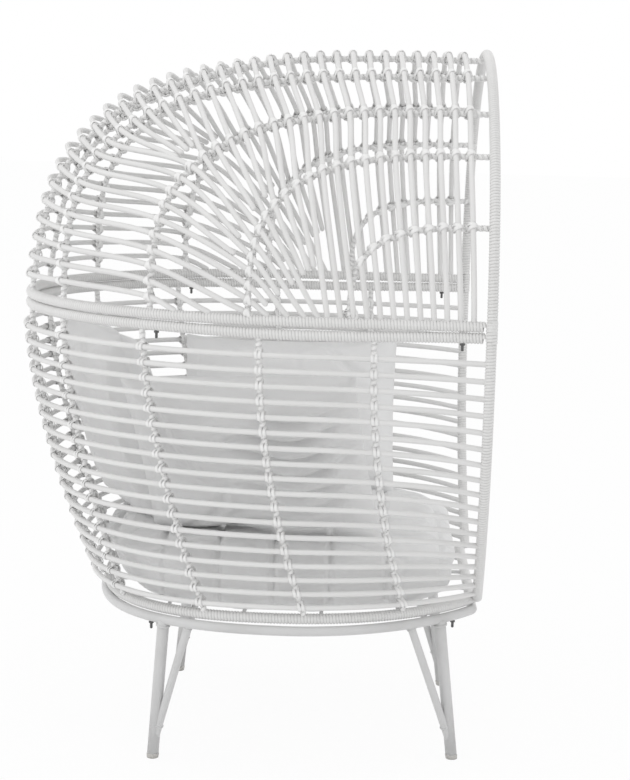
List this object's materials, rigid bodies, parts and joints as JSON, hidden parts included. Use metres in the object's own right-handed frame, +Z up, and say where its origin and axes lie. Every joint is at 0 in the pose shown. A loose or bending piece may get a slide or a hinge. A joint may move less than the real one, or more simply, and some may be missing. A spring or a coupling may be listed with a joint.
{
  "type": "rattan garden armchair",
  "caption": "Cocoon armchair for the garden: a cane basket under a cane hood on a braced four-legged ring stand, open at the front, with a seat cushion and loose pillows",
  "frame": {"origin": "on the floor under the middle of the chair's outline", "axes": "+X points out of the open front, +Y to the sitter's left, +Z up"},
  "size_m": [1.0085, 1.07, 1.49],
  "materials": {
    "stand_paint": "satin",
    "wicker": "matte",
    "cane": "satin",
    "fabric": "matte",
    "bolt_steel": "satin",
    "cap": "matte"
  },
  "bodies": {
    "root": {"stand_ring": "stand_paint", "leg_back_right": "stand_paint", "foot_cap_back_right": "cap", "brace_back_right": "stand_paint", "leg_front_right": "stand_paint", "foot_cap_front_right": "cap", "brace_front_right": "stand_paint", "leg_back_left": "stand_paint", "foot_cap_back_left": "cap", "brace_back_left": "stand_paint", "leg_front_left": "stand_paint", "foot_cap_front_left": "cap", "brace_front_left": "stand_paint", "basket_lower_rim": "wicker", "basket_upper_rim": "wicker", "front_post_right": "wicker", "front_post_left": "wicker", "basket_rib_right_1": "cane", "basket_rib_left_1": "cane", "basket_rib_right_2": "cane", "basket_rib_left_2": "cane", "basket_rib_right_3": "cane", "basket_rib_left_3": "cane", "basket_rib_right_4": "cane", "basket_rib_left_4": "cane", "basket_rib_right_5": "cane", "basket_rib_left_5": "cane", "basket_canes_upper": "cane", "basket_canes_middle": "cane", "basket_canes_lower": "cane", "seat_lattice": "stand_paint", "hood_rim": "wicker", "hood_arch": "wicker", "hood_rib_right_1": "cane", "hood_rib_left_1": "cane", "hood_rib_right_2": "cane", "hood_rib_left_2": "cane", "hood_rib_right_3": "cane", "hood_rib_left_3": "cane", "hood_rib_right_4": "cane", "hood_rib_left_4": "cane", "hood_rib_right_5": "cane", "hood_rib_left_5": "cane", "hood_hoops_front": "cane", "hood_hoops_crown": "cane", "hood_hoops_back": "cane", "seam_bolt_back_left": "bolt_steel", "seam_bolt_front_left": "bolt_steel", "seam_bolt_back_right": "bolt_steel", "seam_bolt_front_right": "bolt_steel", "stand_bolt_back_right": "bolt_steel", "stand_bolt_front_right": "bolt_steel", "stand_bolt_back_left": "bolt_steel", "stand_bolt_front_left": "bolt_steel", "seat_cushion": "fabric", "back_pillow": "fabric", "left_pillow": "fabric", "right_pillow": "fabric"}
  },
  "joints": []
}
